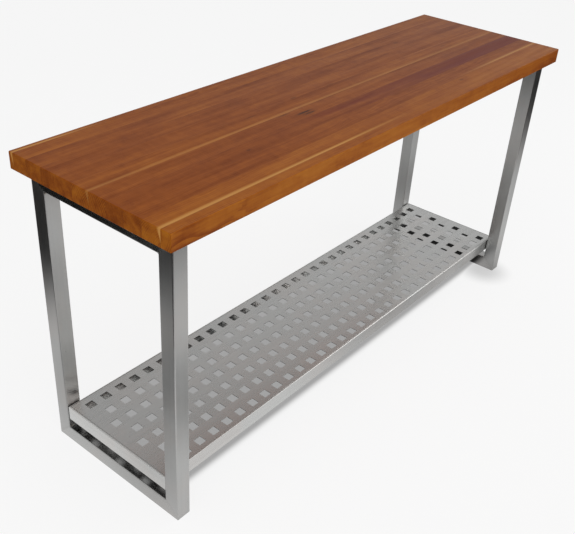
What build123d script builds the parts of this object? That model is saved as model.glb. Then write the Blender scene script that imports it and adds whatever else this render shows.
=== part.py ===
from build123d import *
import os

# Butcher block table. An edge-glued cherry top stands on two end frames welded from square
# stainless tube, and a perforated sheet steel shelf in folded edge channels hangs between the legs.
# Millimetres, +Z up, +X along the table, front towards -Y.
# The origin is on the floor, under the middle of the table.

# Wooden top: full-length staves of uneven width, glued edge to edge, listed from the front
STAVE_WIDTHS = (30.0, 57.0, 57.0, 56.0, 57.0, 57.0, 56.0, 55.0, 55.0, 50.0, 16.0)
TOP_THICKNESS = 46.0
EASED_EDGE = 2.5

# Overall size
LENGTH = 1829.0
WIDTH = sum(STAVE_WIDTHS)
HEIGHT = 886.0

# End frames: mitred square tube
END_OVERHANG = 32.0
SIDE_OVERHANG = 30.0
TUBE = 45.0
TUBE_WALL = 2.0
TUBE_CORNER = 3.0
TUBE_INNER_CORNER = 1.0
UPPER_BEAD = 9.0
LOWER_BEAD = 2.5

# Shelf: perforated sheet let into folded edge channels
SHELF_TOP = 122.0
SHELF_END_INSET = 3.0
SHELF_LEG_GAP = 2.0
SHEET = 1.5
FOLD_INSIDE = 1.0
FOLD_OUTSIDE = FOLD_INSIDE + SHEET
EDGE_HEIGHT = 44.5
EDGE_NIB = FOLD_OUTSIDE + SHEET
EDGE_LEDGE = 10.0
EDGE_LIP = 15.0
SEAM = 1.6
HOLE = 25.4
HOLE_PITCH_X = 53.6
HOLE_PITCH_Y = 53.8
HOLE_ROWS = 7
HOLES_IN_LONG_ROW = 32
HOLE_PATTERN_SHIFT = -4.0

# Screws that hold the top, through slots in the top rails
TOP_SCREWS_PER_RAIL = 4
TOP_SCREW_SPACING = 112.0
SLOT_LENGTH = 14.0
SLOT_WIDTH = 7.0
ACCESS_HOLE_RADIUS = 8.0
SCREW_RADIUS = 2.7
SCREW_PENETRATION = 28.0
SCREW_HEAD_RADIUS = 5.5
SCREW_HEAD_HEIGHT = 3.6
SCREW_DRIVE = 3.4
SCREW_TIP = 6.0
PILOT_CLEARANCE = 0.05
TOP_WASHER_RADIUS = 8.0
TOP_WASHER_HOLE = 3.0
TOP_WASHER = 1.2

# Bolts that hold the shelf, from inside its edge channels into rivet nuts in the legs
SHELF_BOLT_SPACING = 18.0
SHELF_BOLT_DROP = 23.0
BOLT_RADIUS = 2.95
BOLT_THREAD_LENGTH = 12.0
BOLT_HEAD_RADIUS = 5.25
BOLT_HEAD_HEIGHT = 3.3
BOLT_DRIVE = 4.0
SHELF_WASHER_RADIUS = 6.0
SHELF_WASHER_HOLE = 3.2
RIVET_NUT_BORE = 3.0
RIVET_NUT_RADIUS = 4.5
RIVET_NUT_FLANGE_RADIUS = 6.5
RIVET_NUT_FLANGE = 1.0
RIVET_NUT_BULGE_RADIUS = 6.0
RIVET_NUT_BULGE = 5.0
RIVET_NUT_LENGTH = 15.0

# Derived places
FRAME_HEIGHT = HEIGHT - TOP_THICKNESS
FRAME_DEPTH = WIDTH - 2 * SIDE_OVERHANG
FRAME_X = LENGTH / 2 - END_OVERHANG - TUBE / 2
LEG_Y = FRAME_DEPTH / 2 - TUBE / 2
LEG_INNER_Y = FRAME_DEPTH / 2 - TUBE
SHELF_LENGTH = 2 * (FRAME_X + TUBE / 2 - SHELF_END_INSET)
SHELF_WIDTH = 2 * (LEG_INNER_Y - SHELF_LEG_GAP)
SHELF_BOTTOM = SHELF_TOP - EDGE_HEIGHT
DECK_INSET = EDGE_NIB + SEAM
SHELF_BOLT_Z = SHELF_TOP - SHELF_BOLT_DROP
SPACER = SHELF_LEG_GAP - RIVET_NUT_FLANGE

SIDES = {"left": -1, "right": 1}
ENDS = {"front": -1, "back": 1}


def save(name, shapes):
    """Write one node: a single solid, or a group of separate solids."""
    shapes = shapes if isinstance(shapes, list) else [shapes]
    node = shapes[0] if len(shapes) == 1 else Compound(children=shapes)
    node.label = name
    export_step(node, f"parts/{name}.step")


def revolved(points):
    """Solid of revolution about Z from (radius, height) points."""
    return revolve(make_face(Plane.XZ * Polyline(*points, close=True)), Axis.Z)


# ---------------------------------------------------------------- top


def top_screw_places():
    """(x, y) of every screw that holds the top."""
    first = -TOP_SCREW_SPACING * (TOP_SCREWS_PER_RAIL - 1) / 2
    rows = [first + TOP_SCREW_SPACING * i for i in range(TOP_SCREWS_PER_RAIL)]
    return [(side * FRAME_X, y) for side in SIDES.values() for y in rows]


def stave(index):
    """One full-length stave. The outer edges of the finished block are eased, the glue faces are flat."""
    low_y = sum(STAVE_WIDTHS[:index]) - WIDTH / 2
    high_y = low_y + STAVE_WIDTHS[index]
    middle = Pos(0, (low_y + high_y) / 2, HEIGHT - TOP_THICKNESS / 2)
    block = middle * Box(LENGTH, STAVE_WIDTHS[index], TOP_THICKNESS)
    eased = list(block.edges().filter_by(Axis.Y))
    if index == 0:
        eased += block.faces().sort_by(Axis.Y)[0].edges()
    if index == len(STAVE_WIDTHS) - 1:
        eased += block.faces().sort_by(Axis.Y)[-1].edges()
    block = fillet(eased, EASED_EDGE)
    for x, y in top_screw_places():
        if low_y < y < high_y:
            block -= Pos(x, y, FRAME_HEIGHT) * pilot_hole()
    return block


def pilot_hole():
    """Blind hole for a screw, from the underside of the wood."""
    radius = SCREW_RADIUS + PILOT_CLEARANCE
    depth = SCREW_PENETRATION + PILOT_CLEARANCE
    return Cylinder(radius, depth, align=(Align.CENTER, Align.CENTER, Align.MIN))


# ---------------------------------------------------------------- end frames


def tube_section():
    bore = TUBE - 2 * TUBE_WALL
    return RectangleRounded(TUBE, TUBE, TUBE_CORNER) - RectangleRounded(bore, bore, TUBE_INNER_CORNER)


def mitre(end, level):
    """Mitre plane of a frame corner, with its normal towards the leg. level is 1 at the top, -1 below."""
    corner_z = FRAME_HEIGHT if level > 0 else 0
    return Plane(origin=(0, end * FRAME_DEPTH / 2, corner_z), x_dir=(1, 0, 0), z_dir=(0, end, -level))


def leg(side, end):
    """Upright tube, mitred at both ends, drilled for the shelf's rivet nuts."""
    body = Pos(side * FRAME_X, end * LEG_Y, 0) * extrude(tube_section(), FRAME_HEIGHT)
    for level in (1, -1):
        body = split(body, bisect_by=mitre(end, level), keep=Keep.TOP)
    for x, y_sign in shelf_bolt_places():
        if x * side > 0 and y_sign == end:
            drill = Cylinder(RIVET_NUT_RADIUS, 4 * TUBE_WALL)
            body -= Pos(x, end * LEG_INNER_Y, SHELF_BOLT_Z) * Rot(90, 0, 0) * drill
    return body


def rail(side, level):
    """Cross tube of an end frame, mitred to the legs."""
    middle_z = FRAME_HEIGHT - TUBE / 2 if level > 0 else TUBE / 2
    section = Plane(origin=(side * FRAME_X, -FRAME_DEPTH / 2, middle_z), x_dir=(1, 0, 0), z_dir=(0, 1, 0))
    body = extrude(section * tube_section(), FRAME_DEPTH)
    for end in ENDS.values():
        body = split(body, bisect_by=mitre(end, level), keep=Keep.BOTTOM)
    return body


def top_rail(side):
    """Rail under the wood: slots for the screws above, access holes for the driver below."""
    body = rail(side, 1)
    slot = extrude(Rot(0, 0, 90) * SlotOverall(SLOT_LENGTH, SLOT_WIDTH), 2 * TUBE_WALL, both=True)
    access = Cylinder(ACCESS_HOLE_RADIUS, 4 * TUBE_WALL)
    for x, y in top_screw_places():
        if x * side > 0:
            body -= Pos(x, y, FRAME_HEIGHT) * slot
            body -= Pos(x, y, FRAME_HEIGHT - TUBE) * access
    return body


def weld_bead(side, end, level):
    """Concave fillet of weld in an inner corner of a frame, along the flat of the tube."""
    size = UPPER_BEAD if level > 0 else LOWER_BEAD
    corner_z = FRAME_HEIGHT - TUBE if level > 0 else TUBE
    square = Pos(size / 2, size / 2) * Rectangle(size, size)
    section = square - Pos(size, size) * Circle(size)
    origin = (side * FRAME_X, end * LEG_INNER_Y, corner_z)
    x_dir = (0, -end, 0)
    corner = Plane(origin=origin, x_dir=x_dir, z_dir=(end * level, 0, 0))
    return extrude(corner * section, TUBE / 2 - TUBE_CORNER, both=True)


# ---------------------------------------------------------------- shelf


def shelf_bolt_places():
    """(x, end) of every shelf bolt: a pair on each leg's inner face."""
    offsets = (-SHELF_BOLT_SPACING / 2, SHELF_BOLT_SPACING / 2)
    return [
        (side * FRAME_X + offset, end)
        for side in SIDES.values()
        for end in ENDS.values()
        for offset in offsets
    ]


def hole_centres():
    """Staggered rows of square holes, the short rows half a pitch in."""
    centres = []
    for row in range(HOLE_ROWS):
        count = HOLES_IN_LONG_ROW - row % 2
        y = (row - (HOLE_ROWS - 1) / 2) * HOLE_PITCH_Y + HOLE_PATTERN_SHIFT
        centres += [((i - (count - 1) / 2) * HOLE_PITCH_X, y) for i in range(count)]
    return centres


def shelf_deck():
    """Flat perforated sheet that lies on the ledges of the edge channels."""
    outline = Rectangle(SHELF_LENGTH - 2 * DECK_INSET, SHELF_WIDTH - 2 * DECK_INSET)
    holes = [Pos(x, y) * Rectangle(HOLE, HOLE) for x, y in hole_centres()]
    return Pos(0, 0, SHELF_TOP) * extrude(outline - holes, -SHEET)


def edge_section(lipped):
    """Section of an edge channel: x runs inwards from its outer face, y up from its bottom.

    The top folds over to a short nib, then steps down by one sheet to the ledge under the deck.
    A lip turns in at the bottom of the long channels only.
    """
    top = EDGE_HEIGHT
    step = EDGE_NIB - SHEET
    long_foot = [(0, 0), (EDGE_LIP, 0), (EDGE_LIP, SHEET), (SHEET, SHEET)]
    short_foot = [(0, 0), (SHEET, 0)]
    outline = Polyline(
        *(long_foot if lipped else short_foot),
        (SHEET, top - SHEET),
        (step, top - SHEET),
        (step, top - 2 * SHEET),
        (EDGE_NIB + EDGE_LEDGE, top - 2 * SHEET),
        (EDGE_NIB + EDGE_LEDGE, top - SHEET),
        (EDGE_NIB, top - SHEET),
        (EDGE_NIB, top),
        (0, top),
        close=True,
    )
    section = make_face(outline)
    lowest_fold = 0 if lipped else EDGE_HEIGHT / 2
    outside = [v for v in section.vertices() if v.X < SHEET / 2 and v.Y >= lowest_fold]
    section = fillet(outside, FOLD_OUTSIDE)
    inside = [v for v in section.vertices() if abs(v.X - SHEET) < 0.01 and v.Y >= lowest_fold]
    return fillet(inside, FOLD_INSIDE)


def shelf_edge(direction):
    """Edge channel whose outer face looks along direction, mitred to its neighbours at both ends."""
    outward = Vector(*direction)
    along = Vector(0, 0, 1).cross(outward)
    half_length = (SHELF_LENGTH if direction[1] else SHELF_WIDTH) / 2
    half_depth = (SHELF_WIDTH if direction[1] else SHELF_LENGTH) / 2
    origin = outward * half_depth + Vector(0, 0, SHELF_BOTTOM)
    plane = Plane(origin=origin, x_dir=outward * -1, z_dir=along)
    section = plane * edge_section(lipped=direction[1] != 0)
    channel = extrude(section, half_length, both=True)
    for sign in (1, -1):
        corner = outward * half_depth + along * (sign * half_length)
        cut = Plane(origin=corner, x_dir=(0, 0, 1), z_dir=outward - along * sign)
        channel = split(channel, bisect_by=cut, keep=Keep.TOP)
    for x, end in shelf_bolt_places():
        if direction[1] == end:
            drill = Cylinder(SHELF_WASHER_HOLE, 4 * SHEET)
            channel -= Pos(x, end * half_depth, SHELF_BOLT_Z) * Rot(90, 0, 0) * drill
    return channel


# ---------------------------------------------------------------- fasteners


def ring(outer, inner, thickness):
    """Flat washer standing on Z = 0."""
    return extrude(Circle(outer) - Circle(inner), thickness)


def top_screw():
    """Pan head wood screw pointing up, with the bearing face of its head at Z = 0."""
    shank = TOP_WASHER + TUBE_WALL + SCREW_PENETRATION
    body = revolved([
        (0, -SCREW_HEAD_HEIGHT),
        (SCREW_HEAD_RADIUS - 1.6, -SCREW_HEAD_HEIGHT),
        (SCREW_HEAD_RADIUS - 0.5, -SCREW_HEAD_HEIGHT + 0.7),
        (SCREW_HEAD_RADIUS, -SCREW_HEAD_HEIGHT + 1.9),
        (SCREW_HEAD_RADIUS, 0),
        (SCREW_RADIUS, 0),
        (SCREW_RADIUS, shank - SCREW_TIP),
        (0, shank),
    ])
    drive = Pos(0, 0, -SCREW_HEAD_HEIGHT) * Box(SCREW_DRIVE, SCREW_DRIVE, 4.0)
    return body - drive


def shelf_bolt():
    """Button head bolt pointing up, with the bearing face of its head at Z = 0."""
    shank = SHEET + SHEET + SHELF_LEG_GAP + BOLT_THREAD_LENGTH
    body = revolved([
        (0, -BOLT_HEAD_HEIGHT),
        (BOLT_HEAD_RADIUS - 2.4, -BOLT_HEAD_HEIGHT),
        (BOLT_HEAD_RADIUS - 0.8, -BOLT_HEAD_HEIGHT + 1.0),
        (BOLT_HEAD_RADIUS, -BOLT_HEAD_HEIGHT + 2.3),
        (BOLT_HEAD_RADIUS, 0),
        (BOLT_RADIUS, 0),
        (BOLT_RADIUS, shank - 1.0),
        (BOLT_RADIUS - 0.8, shank),
        (0, shank),
    ])
    socket = extrude(RegularPolygon(BOLT_DRIVE / 2, 6, major_radius=False), 2.0)
    return body - Pos(0, 0, -BOLT_HEAD_HEIGHT) * socket


def rivet_nut():
    """Set rivet nut: flange below Z = 0, bulge behind the tube wall, threaded body above."""
    bulge_top = TUBE_WALL + RIVET_NUT_BULGE
    return revolved([
        (RIVET_NUT_BORE, -RIVET_NUT_FLANGE),
        (RIVET_NUT_FLANGE_RADIUS, -RIVET_NUT_FLANGE),
        (RIVET_NUT_FLANGE_RADIUS, 0),
        (RIVET_NUT_RADIUS, 0),
        (RIVET_NUT_RADIUS, TUBE_WALL),
        (RIVET_NUT_BULGE_RADIUS, TUBE_WALL),
        (RIVET_NUT_RADIUS, bulge_top),
        (RIVET_NUT_RADIUS, RIVET_NUT_LENGTH),
        (RIVET_NUT_BORE, RIVET_NUT_LENGTH),
    ])


def under_top(shape, drop):
    """Copies of a part at every top screw, drop below the inner face of the rail's upper wall."""
    z = FRAME_HEIGHT - TUBE_WALL - drop
    return [Pos(x, y, z) * shape for x, y in top_screw_places()]


def at_legs(shape, inset):
    """Copies of a part at every shelf bolt, pointing into the leg, inset from the leg's inner face."""
    return [
        Pos(x, end * (LEG_INNER_Y - inset), SHELF_BOLT_Z) * Rot(-90 * end, 0, 0) * shape
        for x, end in shelf_bolt_places()
    ]


# ---------------------------------------------------------------- nodes


def main():
    os.makedirs("parts", exist_ok=True)

    for index in range(len(STAVE_WIDTHS)):
        save(f"top_stave_{index + 1:02d}", stave(index))

    for side_name, side in SIDES.items():
        for end_name, end in ENDS.items():
            save(f"leg_{side_name}_{end_name}", leg(side, end))
        save(f"top_rail_{side_name}", top_rail(side))
        save(f"floor_rail_{side_name}", rail(side, -1))
        beads = [weld_bead(side, end, level) for end in ENDS.values() for level in (1, -1)]
        save(f"weld_beads_{side_name}", beads)

    save("shelf_deck", shelf_deck())
    for name, direction in {
        "front": (0, -1, 0),
        "back": (0, 1, 0),
        "left": (-1, 0, 0),
        "right": (1, 0, 0),
    }.items():
        save(f"shelf_edge_{name}", shelf_edge(direction))

    save("top_screws", under_top(top_screw(), TOP_WASHER))
    save("top_screw_washers", under_top(ring(TOP_WASHER_RADIUS, TOP_WASHER_HOLE, TOP_WASHER), TOP_WASHER))
    washer = ring(SHELF_WASHER_RADIUS, SHELF_WASHER_HOLE, SHEET)
    spacer = ring(RIVET_NUT_FLANGE_RADIUS, SHELF_WASHER_HOLE, SPACER)
    save("shelf_rivet_nuts", at_legs(rivet_nut(), 0))
    save("shelf_spacers", at_legs(spacer, SHELF_LEG_GAP))
    save("shelf_bolt_washers", at_legs(washer, SHELF_LEG_GAP + 2 * SHEET))
    save("shelf_bolts", at_legs(shelf_bolt(), SHELF_LEG_GAP + 2 * SHEET))


main()
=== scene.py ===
import math
import random

import bpy
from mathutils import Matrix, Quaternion, Vector

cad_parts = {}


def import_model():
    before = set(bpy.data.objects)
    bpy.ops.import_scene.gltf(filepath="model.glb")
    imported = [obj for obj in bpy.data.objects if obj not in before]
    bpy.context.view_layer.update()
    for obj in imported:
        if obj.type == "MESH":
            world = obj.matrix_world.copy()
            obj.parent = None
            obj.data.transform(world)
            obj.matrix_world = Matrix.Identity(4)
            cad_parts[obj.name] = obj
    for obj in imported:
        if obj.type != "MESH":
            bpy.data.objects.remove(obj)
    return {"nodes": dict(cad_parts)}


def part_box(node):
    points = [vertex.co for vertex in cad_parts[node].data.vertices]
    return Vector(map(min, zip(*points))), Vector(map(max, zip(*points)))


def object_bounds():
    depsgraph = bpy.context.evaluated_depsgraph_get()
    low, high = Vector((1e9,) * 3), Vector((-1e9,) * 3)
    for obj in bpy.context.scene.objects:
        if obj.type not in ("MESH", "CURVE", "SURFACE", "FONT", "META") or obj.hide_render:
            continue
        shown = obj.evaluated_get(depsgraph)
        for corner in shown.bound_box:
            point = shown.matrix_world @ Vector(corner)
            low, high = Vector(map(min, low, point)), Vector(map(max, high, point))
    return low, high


# Looks of the butcher block table: an oiled cherry top, brushed stainless end frames and a satin
# perforated shelf, on a pale studio floor. Metres, in the CAD frame: origin on the floor under the
# middle of the table, +X along it, front towards -Y, +Z up.

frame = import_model()
cad_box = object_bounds()

MM = 0.001
STAVES = sorted(name for name in frame["nodes"] if name.startswith("top_stave"))
TUBES_UP = sorted(name for name in frame["nodes"] if name.startswith("leg_"))
TUBES_ACROSS = sorted(name for name in frame["nodes"] if "_rail_" in name)
BEADS = sorted(name for name in frame["nodes"] if name.startswith("weld_beads"))
SHEETS_ALONG = ["shelf_deck", "shelf_edge_front", "shelf_edge_back"]
SHEETS_ACROSS = ["shelf_edge_left", "shelf_edge_right"]
FASTENERS = [
    "top_screws",
    "top_screw_washers",
    "shelf_bolts",
    "shelf_bolt_washers",
    "shelf_spacers",
    "shelf_rivet_nuts",
]

FRAME_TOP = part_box("top_rail_left")[1].z
FRAME_HALF_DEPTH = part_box("top_rail_left")[1].y
FRAME_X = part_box("top_rail_right")[1].x


# ---------------------------------------------------------------- node graphs


class Graph:
    """A material's node tree, with a short call for each kind of node."""

    def __init__(self, name):
        self.material = bpy.data.materials.new(name)
        self.material.use_nodes = True
        self.tree = self.material.node_tree
        self.tree.nodes.clear()

    def put(self, socket, value):
        """Link an output to a socket, or set a constant on it."""
        if isinstance(value, bpy.types.NodeSocket):
            self.tree.links.new(value, socket)
        else:
            socket.default_value = value

    def node(self, kind, **settings):
        made = self.tree.nodes.new("ShaderNode" + kind)
        for name, value in settings.items():
            setattr(made, name, value)
        return made

    def place(self):
        """Position in the CAD frame: every CAD object's own frame is that one."""
        return self.node("TexCoord").outputs["Object"]

    def math(self, operation, *terms, clamp=False):
        made = self.node("Math", operation=operation, use_clamp=clamp)
        for socket, term in zip(made.inputs, terms):
            self.put(socket, term)
        return made.outputs[0]

    def vector(self, operation, *terms):
        made = self.node("VectorMath", operation=operation)
        for socket, term in zip(made.inputs, terms):
            self.put(socket, term)
        return made.outputs["Value"] if operation in ("LENGTH", "DOT_PRODUCT") else made.outputs[0]

    def parts(self, vector):
        made = self.node("SeparateXYZ")
        self.put(made.inputs[0], vector)
        return made.outputs

    def joined(self, x, y, z):
        made = self.node("CombineXYZ")
        for socket, term in zip(made.inputs, (x, y, z)):
            self.put(socket, term)
        return made.outputs[0]

    def noise(self, vector, detail=2.0, roughness=0.5, distortion=0.0):
        """Fractal noise from 0 to 1, one cell per unit of the vector."""
        made = self.node("TexNoise", noise_dimensions="3D")
        self.put(made.inputs["Vector"], vector)
        made.inputs["Scale"].default_value = 1.0
        made.inputs["Detail"].default_value = detail
        made.inputs["Roughness"].default_value = roughness
        made.inputs["Distortion"].default_value = distortion
        return made.outputs[0]

    def smooth(self, value, start, end):
        """0 at start, 1 at end, eased between."""
        made = self.node("MapRange", interpolation_type="SMOOTHSTEP")
        flipped = start > end
        low, high = min(start, end), max(start, end)
        for name, term in zip(("Value", "From Min", "From Max"), (value, low, high)):
            self.put(made.inputs[name], term)
        made.inputs["To Min"].default_value = 1.0 if flipped else 0.0
        made.inputs["To Max"].default_value = 0.0 if flipped else 1.0
        return made.outputs[0]

    def spread(self, value, low, high):
        """Take 0..1 to low..high."""
        made = self.node("MapRange")
        self.put(made.inputs["Value"], value)
        made.inputs["To Min"].default_value = low
        made.inputs["To Max"].default_value = high
        return made.outputs[0]

    def ramp(self, factor, stops):
        made = self.node("ValToRGB")
        self.put(made.inputs[0], factor)
        elements = made.color_ramp.elements
        while len(elements) < len(stops):
            elements.new(0.5)
        for element, (position, colour) in zip(elements, stops):
            element.position = position
            element.color = (*colour, 1.0)
        return made.outputs[0]

    def mix(self, factor, first, second, blend="MIX"):
        made = self.node("Mix", data_type="RGBA", blend_type=blend)
        for index, value in ((0, factor), (6, first), (7, second)):
            self.put(made.inputs[index], (*value, 1.0) if isinstance(value, tuple) else value)
        return made.outputs[2]

    def bump(self, height, strength, distance):
        made = self.node("Bump")
        made.inputs["Strength"].default_value = strength
        made.inputs["Distance"].default_value = distance
        self.put(made.inputs["Height"], height)
        return made.outputs[0]

    def surface(self, shader):
        output = self.node("OutputMaterial")
        self.tree.links.new(shader, output.inputs["Surface"])
        return self.material

    def principled(self, **inputs):
        shader = self.node("BsdfPrincipled")
        for name, value in inputs.items():
            self.put(shader.inputs[name.replace("_", " ")], value)
        return self.surface(shader.outputs[0])


# ---------------------------------------------------------------- wood

# Linear colours of oiled cherry, from its palest heartwood to its darkest latewood.
CHERRY = (
    (0.00, (0.405, 0.150, 0.016)),
    (0.35, (0.306, 0.092, 0.008)),
    (0.60, (0.222, 0.055, 0.005)),
    (0.80, (0.160, 0.033, 0.002)),
    (1.00, (0.074, 0.014, 0.001)),
)
SAPWOOD = (0.520, 0.262, 0.070)
PLUM = (0.124, 0.012, 0.004)
KNOT = (0.030, 0.010, 0.005)
GLUE = (0.050, 0.020, 0.010)

# End grain is the same colour times this.
END_GRAIN = (1.00, 1.02, 0.50)
SHEEN_LEVEL = 0.058
FRONT_STAVE = 1
PLUM_STAVE = 4

# How much darker the latewood lines are than the wood between them: on the faces along the grain,
# on the front edge near the left end, on the rest of the front edge, and on the end grain.
LATEWOOD = 0.15
LATEWOOD_LEFT = 0.36
LATEWOOD_FRONT = 0.09
LATEWOOD_END = 0.30

# How dark each stave is, from the front: 0 is the palest heartwood of CHERRY and 1 the darkest.
STAVE_TONES = (0.42, 0.41, 0.58, 0.62, 0.57, 0.54, 0.58, 0.60, 0.56, 0.50, 0.50)

# How far the layers of figure move that tone either way, and how much the flecks add to it.
STREAK_TONE = 0.29
LINE_TONE = 0.13
FIBRE_TONE = 0.10
CLOUD_TONE = 0.22
RIPPLE_TONE = 0.12
FLECK_TONE = 0.18

# The front edge is paler by this along its middle, which is painted light, and darker by this at the
# right end.
FRONT_PAINTED_LIGHT = 0.08
FRONT_DEEPER = 0.18

# Where the pith lay from the middle of each stave, across and down: it sets how the rings cross it.
PITHS = (
    (0.060, -0.005),
    (-0.070, -0.040),
    (0.045, -0.060),
    (0.080, -0.035),
    (-0.110, -0.060),
    (-0.085, -0.030),
    (0.055, -0.050),
    (0.090, -0.020),
    (-0.060, -0.045),
    (0.035, -0.075),
    (-0.070, -0.015),
)

# Sapwood along the front glue line of a stave: stave number, how pale, width, then the X where it
# starts, is full, begins to fade and is gone.
SAPWOOD_LINES = (
    (2, 0.72, 0.013, -1.50, -1.20, -0.35, 0.05),
    (3, 0.55, 0.014, 0.35, 0.70, 1.50, 2.00),
    (6, 0.28, 0.014, -1.50, -1.20, 1.50, 2.00),
    (11, 0.66, 0.012, -1.50, -1.20, -0.85, -0.60),
)

# Knots and gum streaks in the top face: x, y, half length, half width, how dark.
KNOTS = (
    (-0.206, -0.044, 0.030, 0.0044, 0.90),
    (-0.198, -0.056, 0.024, 0.0038, 0.80),
    (-0.265, -0.021, 0.024, 0.0022, 0.60),
    (-0.340, 0.030, 0.020, 0.0018, 0.60),
    (-0.145, 0.044, 0.013, 0.0022, 0.60),
    (-0.500, -0.108, 0.007, 0.0050, 0.40),
    (0.365, -0.202, 0.012, 0.0040, 0.40),
    (0.020, 0.043, 0.016, 0.0020, 0.40),
    (0.620, 0.016, 0.016, 0.0030, 0.40),
    (0.520, 0.142, 0.014, 0.0060, 0.30),
)


def ring_distance(g, place, middle, pith, rng):
    """Distance from a wandering pith: its rings give the grain on every face of a stave."""
    x, y, z = g.parts(place)
    seed = rng.uniform(0, 100)
    slope_y = rng.uniform(-0.020, 0.020)
    slope_z = rng.uniform(-0.015, 0.015)
    bend_y = g.noise(g.joined(g.math("MULTIPLY", x, 1.5), seed, 0.5), 3.0)
    bend_z = g.noise(g.joined(g.math("MULTIPLY", x, 1.9), seed, 7.5), 3.0)
    from_y = g.math("SUBTRACT", y, middle.y + pith[0])
    from_y = g.math("SUBTRACT", from_y, g.math("MULTIPLY", x, slope_y))
    from_y = g.math("SUBTRACT", from_y, g.spread(bend_y, -0.040, 0.040))
    from_z = g.math("SUBTRACT", z, middle.z + pith[1])
    from_z = g.math("SUBTRACT", from_z, g.math("MULTIPLY", x, slope_z))
    from_z = g.math("SUBTRACT", from_z, g.spread(bend_z, -0.035, 0.035))
    distance = g.vector("LENGTH", g.joined(from_y, from_z, 0.0))
    ripple = g.noise(g.vector("MULTIPLY", place, (11.0, 80.0, 80.0)), 3.0)
    return g.math("ADD", distance, g.spread(ripple, -0.0025, 0.0025))


def latewood(g, place, middle, pith, rng):
    """Growth rings: each darkens slowly and ends in a sharp edge, and some years are faint."""
    ring_width = rng.uniform(0.0032, 0.0050)
    count = g.math("DIVIDE", ring_distance(g, place, middle, pith, rng), ring_width)
    phase = g.math("FRACT", count)
    late = g.math("MULTIPLY", g.smooth(phase, 0.25, 0.88), g.smooth(phase, 1.0, 0.92))
    years = g.noise(g.joined(g.math("MULTIPLY", count, 0.41), rng.uniform(0, 9), 0.5), 2.0)
    return g.math("MULTIPLY", late, g.smooth(years, 0.25, 0.70))


def grain(g, shifted, along, across, detail, roughness=0.5, distortion=0.0):
    """Noise drawn out along the stave: cells per metre along it and across it."""
    return g.noise(g.vector("MULTIPLY", shifted, (along, across, across)), detail, roughness, distortion)


def facing(g, axis, start, end):
    """0 to 1 as the normal's part along an axis goes from start to end."""
    return g.smooth(g.parts(g.node("NewGeometry").outputs["Normal"])[axis], start, end)


def on_ends(g):
    """1 on the end grain of a stave."""
    along = g.math("ABSOLUTE", g.parts(g.node("NewGeometry").outputs["Normal"])[0])
    return g.smooth(along, 0.6, 0.9)


def cherry(number, node):
    """Oiled cherry for one stave. number counts from the front."""
    rng = random.Random(100 + number)
    low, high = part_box(node)
    g = Graph(f"cherry_stave_{number:02d}")
    place = g.place()
    at = g.parts(place)
    shifted = g.vector("ADD", place, (rng.uniform(0, 50), rng.uniform(0, 50), rng.uniform(0, 50)))
    late = latewood(g, place, (low + high) / 2, PITHS[number - 1], rng)
    streak = grain(g, shifted, 1.4, 40.0, 4.0, 0.6)
    fibre = grain(g, shifted, 16.0, 900.0, 3.0, 0.6)
    on_end = on_ends(g)
    glue = glue_line(g, at[1], low.y, high.y)

    dark = stave_tone(g, number, at[0], shifted, late, streak, fibre, on_end)
    colour = g.ramp(dark, CHERRY)
    colour = g.mix(on_end, colour, g.mix(1.0, colour, END_GRAIN, "MULTIPLY"))
    colour = with_features(g, colour, number, place, shifted, low, high)
    colour = g.mix(g.math("MULTIPLY", glue, 0.35), colour, GLUE)

    gloss = g.math("ADD", g.spread(streak, 0.34, 0.52), g.spread(fibre, -0.06, 0.06))
    gloss = g.math("ADD", gloss, g.math("MULTIPLY", on_end, 0.12))
    height = g.math("ADD", fibre, g.math("MULTIPLY", late, -0.5))
    height = g.math("SUBTRACT", height, g.math("MULTIPLY", glue, 0.8))
    return g.principled(
        Base_Color=colour,
        Roughness=gloss,
        Normal=g.bump(height, 0.3, 0.0002),
        Specular_IOR_Level=SHEEN_LEVEL,
    )


def stave_tone(g, number, x, shifted, late, streak, fibre, on_end):
    """How dark the wood is, from 0 to 1 along CHERRY: the stave's own tone and its figure."""
    line = grain(g, shifted, 4.0, 260.0, 3.0, 0.6)
    cloud = grain(g, shifted, 6.0, 20.0, 3.0, 0.55, 0.6)
    ripple = grain(g, shifted, 55.0, 26.0, 3.0, 0.5, 0.5)
    flecks = grain(g, shifted, 48.0, 900.0, 1.0)
    dark = g.math("ADD", g.spread(streak, -STREAK_TONE, STREAK_TONE), STAVE_TONES[number - 1])
    dark = g.math("ADD", dark, g.math("MULTIPLY", late, late_depth(g, number, x, on_end)))
    if number == FRONT_STAVE:
        dark = g.math("ADD", dark, front_edge_tone(g, x))
    layers = ((line, LINE_TONE), (fibre, FIBRE_TONE), (cloud, CLOUD_TONE), (ripple, RIPPLE_TONE))
    for layer, reach in layers:
        dark = g.math("ADD", dark, g.spread(layer, -reach, reach))
    return g.math("ADD", dark, g.spread(g.smooth(flecks, 0.64, 0.76), 0.0, FLECK_TONE))


def front_edge_tone(g, x):
    """What the front edge adds to the tone: less along its middle, which is painted light, more towards
    the right end.
    """
    # Painted light: the front face is made paler along its middle.
    middle = g.math("MULTIPLY", g.smooth(x, -0.80, -0.55), g.smooth(x, 0.60, 0.35))
    deeper = g.math("MULTIPLY", g.smooth(x, 0.66, 0.90), FRONT_DEEPER)
    change = g.math("SUBTRACT", deeper, g.math("MULTIPLY", middle, FRONT_PAINTED_LIGHT))
    return g.math("MULTIPLY", facing(g, 1, -0.6, -0.9), change)


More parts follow.
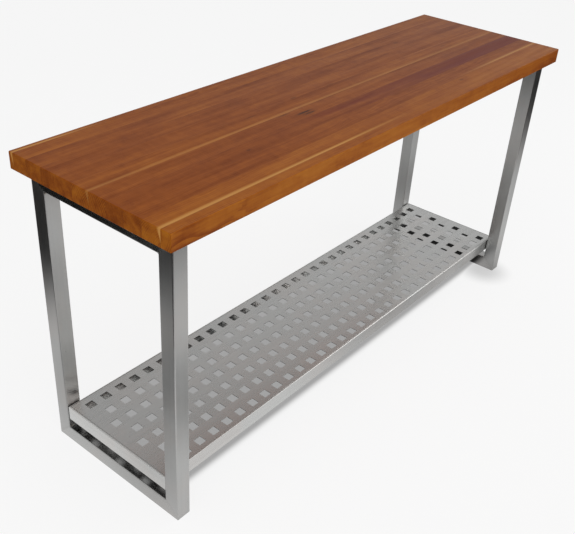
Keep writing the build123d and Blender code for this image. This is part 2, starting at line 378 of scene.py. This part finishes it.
def with_features(g, colour, number, place, shifted, low, high):
    """Lay the stave's plum heart, sapwood lines and knots over its colour."""
    at = g.parts(place)
    if number == PLUM_STAVE:
        colour = g.mix(plum_share(g, at[0], shifted), colour, PLUM)
    for line_stave, *shape in SAPWOOD_LINES:
        if line_stave == number:
            colour = g.mix(sapwood_share(g, shifted, at, low.y, *shape), colour, SAPWOOD)
    for knot in KNOTS:
        if low.y < knot[1] < high.y:
            colour = g.mix(knot_share(g, place, high.z, *knot), colour, KNOT)
    return colour


def late_depth(g, number, x, on_end):
    """How much the latewood darkens the wood: most in the left end of the front stave."""
    along = LATEWOOD
    if number == FRONT_STAVE:
        along = g.spread(g.smooth(x, -0.62, -0.82), LATEWOOD_FRONT, LATEWOOD_LEFT)
    depth = g.node("MapRange")
    g.put(depth.inputs["Value"], on_end)
    g.put(depth.inputs["To Min"], along)
    depth.inputs["To Max"].default_value = LATEWOOD_END
    return depth.outputs[0]


def plum_share(g, x, shifted):
    """The purple-brown heart that comes in along a stave towards the right end."""
    patch = g.noise(g.vector("MULTIPLY", shifted, (4.0, 34.0, 34.0)), 3.0)
    share = g.smooth(g.math("ADD", x, g.spread(patch, -0.5, 0.5)), -0.25, 0.45)
    return g.math("MULTIPLY", share, g.spread(patch, 0.45, 1.20), clamp=True)


def sapwood_share(g, shifted, at, edge_y, strength, width, start, full, fade, gone):
    """Pale sapwood along the front glue line of a stave, a wedge that narrows downwards."""
    x, y, z = at
    waver = g.noise(g.vector("MULTIPLY", shifted, (2.2, 9.0, 9.0)), 2.0)
    reach = g.math("MULTIPLY", g.spread(waver, 0.6, 1.4), width)
    depth = g.smooth(z, FRAME_TOP + 0.010, cad_box[1].z + 0.004)
    reach = g.math("MULTIPLY", reach, g.spread(depth, 0.02, 1.0))
    away = g.math("DIVIDE", g.math("SUBTRACT", y, edge_y), reach)
    share = g.math("MULTIPLY", g.smooth(away, 1.0, 0.35), g.smooth(away, -0.05, 0.12))
    share = g.math("MULTIPLY", share, g.smooth(x, start, full))
    share = g.math("MULTIPLY", share, g.smooth(x, gone, fade))
    return g.math("MULTIPLY", share, strength)


def knot_share(g, place, top_z, x, y, half_length, half_width, darkness):
    """A small dark knot or gum streak in the top face, ragged at its edge."""
    away = g.vector("SUBTRACT", place, (x, y, top_z))
    ragged = g.noise(g.vector("MULTIPLY", place, (70.0, 380.0, 380.0)), 3.0, 0.6)
    scaled = g.vector("MULTIPLY", away, (1 / half_length, 1 / half_width, 40.0))
    distance = g.math("ADD", g.vector("LENGTH", scaled), g.spread(ragged, -0.7, 0.7))
    return g.math("MULTIPLY", g.smooth(distance, 1.5, 0.35), darkness)


def glue_line(g, y, low_y, high_y):
    """1 in the hairline where a stave meets its neighbour."""
    to_low = g.math("SUBTRACT", y, low_y) if low_y > cad_box[0].y + MM else None
    to_high = g.math("SUBTRACT", high_y, y) if high_y < cad_box[1].y - MM else None
    edges = [edge for edge in (to_low, to_high) if edge is not None]
    nearest = edges[0] if len(edges) == 1 else g.math("MINIMUM", *edges)
    return g.smooth(nearest, 0.0004, 0.0001)


# ---------------------------------------------------------------- steel

FRAME_TINT = (0.440, 0.437, 0.430)
SHEET_TINT = (0.552, 0.549, 0.541)
# A lighter copy of the sheet steel for the shelf's end flanges: painted light.
PAINTED_LIGHT_END_TINT = (0.640, 0.636, 0.626)
WARM = (1.01, 0.995, 0.985)
COOL = (0.99, 1.0, 1.0)
GRIND_WIDTH = 0.011

# How many scratches fit across a metre: tube is finely brushed, sheet more coarsely.
TUBE_SCRATCHES = 1900.0
SHEET_SCRATCHES = 900.0

# Heat tints of the weld beads, from blue to straw, and the fasteners' dull and bright steel.
HEAT_TINTS = (
    (0.30, (0.34, 0.35, 0.37)),
    (0.50, (0.40, 0.39, 0.36)),
    (0.70, (0.42, 0.37, 0.31)),
)
TUMBLED = (
    (0.25, (0.50, 0.50, 0.49)),
    (0.75, (0.60, 0.59, 0.58)),
)


def ground_share(g, place):
    """1 along the mitred corners of the end frames, where the welds are ground flush."""
    x, y, z = g.parts(place)
    inwards = g.math("SUBTRACT", FRAME_HALF_DEPTH, g.math("ABSOLUTE", y))
    at_floor = g.math("ABSOLUTE", g.math("SUBTRACT", inwards, z))
    at_top = g.math("ABSOLUTE", g.math("SUBTRACT", inwards, g.math("SUBTRACT", FRAME_TOP, z)))
    nearest = g.math("DIVIDE", g.math("MINIMUM", at_floor, at_top), math.sqrt(2))
    ragged = g.noise(g.vector("MULTIPLY", place, (60.0, 60.0, 60.0)), 2.0)
    return g.smooth(g.math("ADD", nearest, g.spread(ragged, -0.006, 0.006)), GRIND_WIDTH, 0.003)


def scaled(colour, factors):
    return tuple(channel * factor for channel, factor in zip(colour, factors))


def brushed(name, along, tint, roughness, anisotropy, scratched=1.0, ground=False):
    """Stainless steel brushed along one axis, "X", "Y" or "Z".

    scratched scales the depth of the brushing. Where ground is true, the mitres are ground over.
    """
    g = Graph(name)
    place = g.place()

    def stretched(coarse, fine):
        return g.vector("MULTIPLY", place, tuple(coarse if axis == along else fine for axis in "XYZ"))

    scratch = g.noise(stretched(7.0, TUBE_SCRATCHES if ground else SHEET_SCRATCHES), 3.0, 0.65)
    band = g.noise(stretched(1.1, 95.0), 3.0, 0.55)
    cloud = g.noise(g.vector("MULTIPLY", place, (6.5, 6.5, 6.5)), 3.0, 0.55, 0.3)
    smudge = g.noise(g.vector("MULTIPLY", place, (31.0, 31.0, 31.0)), 3.0, 0.6)

    shade = g.spread(scratch, -0.08 * scratched, 0.08 * scratched)
    shade = g.math("ADD", g.spread(band, 0.90, 1.06), shade)
    shade = g.math("ADD", shade, g.spread(smudge, -0.04, 0.04))
    colour = g.mix(g.smooth(cloud, 0.40, 0.62), scaled(tint, COOL), scaled(tint, WARM))
    colour = g.mix(1.0, colour, g.joined(shade, shade, shade), "MULTIPLY")
    gloss = g.spread(scratch, -0.04 * scratched, 0.04 * scratched)
    gloss = g.math("ADD", g.spread(band, roughness - 0.05, roughness + 0.06), gloss)
    gloss = g.math("ADD", gloss, g.spread(smudge, -0.04, 0.05))
    height = scratch
    if ground:
        share = ground_share(g, place)
        swirl = g.noise(g.vector("MULTIPLY", place, (420.0, 420.0, 420.0)), 2.0, 0.6)
        brushing = g.math("MULTIPLY", scratch, g.math("SUBTRACT", 1.0, share))
        height = g.math("ADD", brushing, g.math("MULTIPLY", swirl, share))
        gloss = g.math("ADD", gloss, g.math("MULTIPLY", share, 0.06))
    tangent = g.node("Tangent", direction_type="RADIAL", axis=along)
    return g.principled(
        Base_Color=colour,
        Metallic=1.0,
        Roughness=gloss,
        Anisotropic=anisotropy,
        Tangent=tangent.outputs[0],
        Normal=g.bump(height, 0.25 * scratched, 0.00004),
    )


def weld_steel():
    """Weld bead: rippled across its run, brushed over, faintly straw and blue from the heat."""
    g = Graph("weld_steel")
    place = g.place()
    ripple = g.noise(g.vector("MULTIPLY", place, (520.0, 160.0, 160.0)), 2.0, 0.5, 0.5)
    patch = g.noise(g.vector("MULTIPLY", place, (110.0, 110.0, 110.0)), 2.0)
    return g.principled(
        Base_Color=g.ramp(patch, HEAT_TINTS),
        Metallic=1.0,
        Roughness=g.spread(patch, 0.28, 0.42),
        Normal=g.bump(ripple, 0.5, 0.0004),
    )


def fastener_steel():
    """Turned and tumbled stainless of screws, bolts and washers."""
    g = Graph("fastener_steel")
    place = g.place()
    tumbled = g.noise(g.vector("MULTIPLY", place, (900.0, 900.0, 900.0)), 3.0, 0.6)
    dull = g.noise(g.vector("MULTIPLY", place, (150.0, 150.0, 150.0)), 2.0)
    return g.principled(
        Base_Color=g.ramp(dull, TUMBLED),
        Metallic=1.0,
        Roughness=g.spread(tumbled, 0.22, 0.42),
        Normal=g.bump(tumbled, 0.2, 0.0001),
    )


# ---------------------------------------------------------------- object


def finish_node(node, material):
    """Give a CAD node its material."""
    shown = frame["nodes"][node]
    shown.data.materials.clear()
    shown.data.materials.append(material)


def dress_object():
    """Every CAD node shown, in its own material."""
    for number, node in enumerate(STAVES, start=1):
        finish_node(node, cherry(number, node))
    looks = (
        (TUBES_UP, brushed("frame_steel_upright", "Z", FRAME_TINT, 0.30, 0.75, ground=True)),
        (TUBES_ACROSS, brushed("frame_steel_across", "Y", FRAME_TINT, 0.19, 0.20, ground=True)),
        (SHEETS_ALONG, brushed("shelf_steel_along", "X", SHEET_TINT, 0.27, 0.45, 0.2)),
        # Painted light: the end flanges get a lighter copy of the sheet steel.
        (SHEETS_ACROSS, brushed("shelf_steel_across_painted_light", "Y", PAINTED_LIGHT_END_TINT, 0.22, 0.20, 0.3)),
        (BEADS, weld_steel()),
        (FASTENERS, fastener_steel()),
    )
    for nodes, material in looks:
        for node in nodes:
            finish_node(node, material)


# ---------------------------------------------------------------- stage

FLOOR_SIZE = 60.0
FLOOR_GREY = 0.12
# The floor's glow in the open, and in the painted shadow under the shelf.
OPEN_GLOW = 0.845
SHADED_GLOW = 0.33

# The painted soft shadow under the shelf, drawn as a dimmer glow of the floor: its edges along X and Y,
# the slant of its front edge past the right end, and the faint painted shadow at the right front foot.
SHADE_X = (-0.80, 1.02)
SHADE_Y = (-0.150, 0.262)
SHADE_SOFT = 0.036
SHADE_LEAN = 0.60
FOOT_PAINTED_SHADOW = (0.820, -0.215, 0.125, 0.55)

# What the steel mirrors on the floor: a painted shade, seen only in reflections. The lit area ends
# softly between these places along X and Y.
LIT_LEFT = (-1.43, -1.57)
LIT_RIGHT = (1.30, 2.80)
LIT_FRONT = (-1.16, -1.38)
LIT_BACK = (0.56, 1.12)

# Painted shadows of the table in it, seen only in reflections: x, y, half size along X, half size along
# Y, how dim.
MIRRORED_SHADOW_PATCHES = (
    (-1.28, 0.16, 0.44, 0.50, 0.76),
    (-0.50, -0.60, 0.38, 0.34, 0.60),
    (0.42, -0.30, 0.92, 0.14, 0.52),
    (-1.00, -0.10, 0.22, 0.26, 0.25),
    (1.50, -0.48, 0.45, 0.20, 0.24),
    (0.34, 0.46, 0.62, 0.34, 0.62),
    (1.34, -0.08, 0.60, 0.30, 0.66),
)

# The painted shade under the shelf, seen only in reflections.
UNDER_X = (-0.82, 0.84)
UNDER_Y = (-0.15, 0.21)
DARK_UNDER = 0.95
UNLIT = 0.004
MIRROR_HEIGHT = 0.001

# The glowing card in front, seen only in reflections: a painted reflection.
CARD_X = (-0.8, 2.6)
CARD_Y = -2.6
CARD_Z = (1.2, 3.8)
CARD_GLOW = 1.5

# The room's brightness by the height of a direction, from the horizon at 0 to straight up at 1.
ROOM_GLOW = (
    (0.00, 0.90),
    (0.26, 1.36),
    (0.36, 0.68),
    (0.44, 0.50),
    (0.50, 0.70),
    (0.68, 0.46),
    (1.00, 0.45),
)

# The camera: focal length in mm, shift, place, the point it looks at and roll in degrees.
LENS = 51.955
LENS_SHIFT = (0.0063, 0.0169)
EYE = (-1.8967, -1.3316, 1.7180)
AIM = (-0.4367, -0.1920, 0.5307)
ROLL = 3.802


def flat_sheet(name, corners):
    """A single stage polygon."""
    mesh = bpy.data.meshes.new(name)
    mesh.from_pydata(corners, [], [(0, 1, 2, 3)])
    made = bpy.data.objects.new(name, mesh)
    bpy.context.scene.collection.objects.link(made)
    return made


def level_square(name, size, z):
    half = size / 2
    return flat_sheet(name, [(-half, -half, z), (half, -half, z), (half, half, z), (-half, half, z)])


def reflected_only(made):
    """Only mirror-like reflections see it: it neither shows nor lights or shades anything."""
    made.visible_camera = False
    made.visible_diffuse = False
    made.visible_transmission = False
    made.visible_shadow = False


def inside(g, value, low, high, soft):
    """1 between low and high, easing to 0 within soft outside them."""
    return g.math("MULTIPLY", g.smooth(value, low - soft, low), g.smooth(value, high + soft, high))


def floor():
    """Pale seamless floor, lit from within, with a painted soft shadow under the shelf and at the right
    front foot.
    """
    made = level_square("floor", FLOOR_SIZE, 0.0)
    g = Graph("floor")
    x, y, _ = g.parts(g.place())
    past_end = g.math("MAXIMUM", g.math("SUBTRACT", x, FRAME_X), 0.0)
    leaned_y = g.math("SUBTRACT", y, g.math("MULTIPLY", past_end, SHADE_LEAN))
    # Painted shadow: the floor's glow is dimmed under the shelf and by the right front foot.
    shade = g.math("MULTIPLY", inside(g, x, *SHADE_X, SHADE_SOFT), inside(g, y, *SHADE_Y, SHADE_SOFT))
    shade = g.math("MULTIPLY", shade, g.smooth(leaned_y, SHADE_Y[0] - SHADE_SOFT, SHADE_Y[0]))
    foot_x, foot_y, radius, depth = FOOT_PAINTED_SHADOW
    away = g.vector("LENGTH", g.vector("SUBTRACT", g.joined(x, y, 0.0), (foot_x, foot_y, 0.0)))
    shade = g.math("MAXIMUM", shade, g.math("MULTIPLY", g.smooth(away, radius, 0.02), depth))
    diffuse = g.node("BsdfDiffuse")
    diffuse.inputs["Color"].default_value = (FLOOR_GREY, FLOOR_GREY, FLOOR_GREY, 1.0)
    glow = g.node("Emission")
    g.put(glow.inputs["Strength"], g.spread(shade, OPEN_GLOW, SHADED_GLOW))
    both = g.node("AddShader")
    g.put(both.inputs[0], diffuse.outputs[0])
    g.put(both.inputs[1], glow.outputs[0])
    made.data.materials.append(g.surface(both.outputs[0]))


def lit_share(g, place):
    """1 where the mirrored floor is lit, less in the painted shadows of the table, 0 in the painted
    shade of the unlit studio around it and under the shelf.
    """
    x, y, _ = g.parts(place)
    lit = g.math("MULTIPLY", g.smooth(x, *reversed(LIT_LEFT)), g.smooth(x, *reversed(LIT_RIGHT)))
    lit = g.math("MULTIPLY", lit, g.smooth(y, *reversed(LIT_FRONT)))
    lit = g.math("MULTIPLY", lit, g.smooth(y, *reversed(LIT_BACK)))
    for at_x, at_y, size_x, size_y, depth in MIRRORED_SHADOW_PATCHES:
        away = g.vector("SUBTRACT", place, (at_x, at_y, MIRROR_HEIGHT))
        away = g.vector("MULTIPLY", away, (1 / size_x, 1 / size_y, 0.0))
        dim = g.math("MULTIPLY", g.smooth(g.vector("LENGTH", away), 1.0, 0.1), depth)
        lit = g.math("MULTIPLY", lit, g.math("SUBTRACT", 1.0, dim))
    under = g.math("MULTIPLY", inside(g, x, *UNDER_X, 0.03), inside(g, y, *UNDER_Y, 0.04))
    return g.math("MULTIPLY", lit, g.math("SUBTRACT", 1.0, g.math("MULTIPLY", under, DARK_UNDER)))


def painted_shade_surround():
    """A painted shade sheet seen only in reflections: the unlit studio beyond the lit floor, the table's
    shadows on it and the dark under the shelf.
    """
    made = level_square("painted_shade_surround", FLOOR_SIZE / 2, MIRROR_HEIGHT)
    g = Graph("painted_shade_surround")
    clear = g.node("BsdfTransparent")
    dark = g.node("Emission")
    dark.inputs["Color"].default_value = (UNLIT, UNLIT, UNLIT, 1.0)
    blend = g.node("MixShader")
    # Painted shade: dark where the mirrored floor is taken as unlit or shadowed, clear elsewhere.
    g.put(blend.inputs[0], lit_share(g, g.place()))
    g.put(blend.inputs[1], dark.outputs[0])
    g.put(blend.inputs[2], clear.outputs[0])
    made.data.materials.append(g.surface(blend.outputs[0]))
    reflected_only(made)


def front_card():
    """Glowing white card high in front of the table, seen only in reflections: a painted reflection that
    lifts the back legs' fronts.
    """
    left, right = CARD_X
    low, high = CARD_Z
    corners = [(left, CARD_Y, low), (right, CARD_Y, low), (right, CARD_Y, high), (left, CARD_Y, high)]
    made = flat_sheet("front_card", corners)
    g = Graph("front_card")
    glow = g.node("Emission")
    glow.inputs["Strength"].default_value = CARD_GLOW
    made.data.materials.append(g.surface(glow.outputs[0]))
    reflected_only(made)


def world():
    """Soft white room, brightest a little above the horizon."""
    made = bpy.data.worlds.new("studio")
    made.use_nodes = True
    tree = made.node_tree
    tree.nodes.clear()
    place = tree.nodes.new("ShaderNodeTexCoord")
    split = tree.nodes.new("ShaderNodeSeparateXYZ")
    ramp = tree.nodes.new("ShaderNodeValToRGB")
    glow = tree.nodes.new("ShaderNodeBackground")
    output = tree.nodes.new("ShaderNodeOutputWorld")
    tree.links.new(place.outputs["Generated"], split.inputs[0])
    tree.links.new(split.outputs["Z"], ramp.inputs[0])
    tree.links.new(ramp.outputs[0], glow.inputs["Color"])
    tree.links.new(glow.outputs[0], output.inputs["Surface"])
    elements = ramp.color_ramp.elements
    while len(elements) < len(ROOM_GLOW):
        elements.new(0.5)
    for element, (position, value) in zip(elements, ROOM_GLOW):
        element.position = position
        element.color = (value, value, value, 1.0)
    bpy.context.scene.world = made


def softbox(name, place, aim, width, height, power):
    """A rectangular lamp turned towards aim. Power is in watts."""
    lamp = bpy.data.lights.new(name, "AREA")
    lamp.shape = "RECTANGLE"
    lamp.size = width
    lamp.size_y = height
    lamp.energy = power
    made = bpy.data.objects.new(name, lamp)
    made.location = place
    made.rotation_mode = "QUATERNION"
    made.rotation_quaternion = (Vector(aim) - Vector(place)).to_track_quat("-Z", "Y")
    bpy.context.scene.collection.objects.link(made)
    return made


def camera():
    """The photograph's view: from the front left, from above the top."""
    data = bpy.data.cameras.new("camera")
    data.sensor_width = 36.0
    data.lens = LENS
    data.shift_x, data.shift_y = LENS_SHIFT
    made = bpy.data.objects.new("camera", data)
    roll = Quaternion((0.0, 0.0, 1.0), math.radians(ROLL))
    made.location = EYE
    made.rotation_mode = "QUATERNION"
    made.rotation_quaternion = (Vector(AIM) - Vector(EYE)).to_track_quat("-Z", "Y") @ roll
    bpy.context.scene.collection.objects.link(made)
    bpy.context.scene.camera = made


def set_stage():
    """Floor, reflections, lamps and camera."""
    floor()
    painted_shade_surround()
    front_card()
    world()
    softbox("overhead", (-1.2, -0.8, 2.9), (-0.3, 0.0, 0.8), 2.0, 1.5, 22.0)
    softbox("front", (2.9, -1.8, 2.3), (0.1, 0.0, 0.2), 1.6, 2.2, 26.0)
    camera()
    bpy.context.scene.view_settings.view_transform = "Standard"
    bpy.context.scene.view_settings.look = "None"


dress_object()
set_stage()
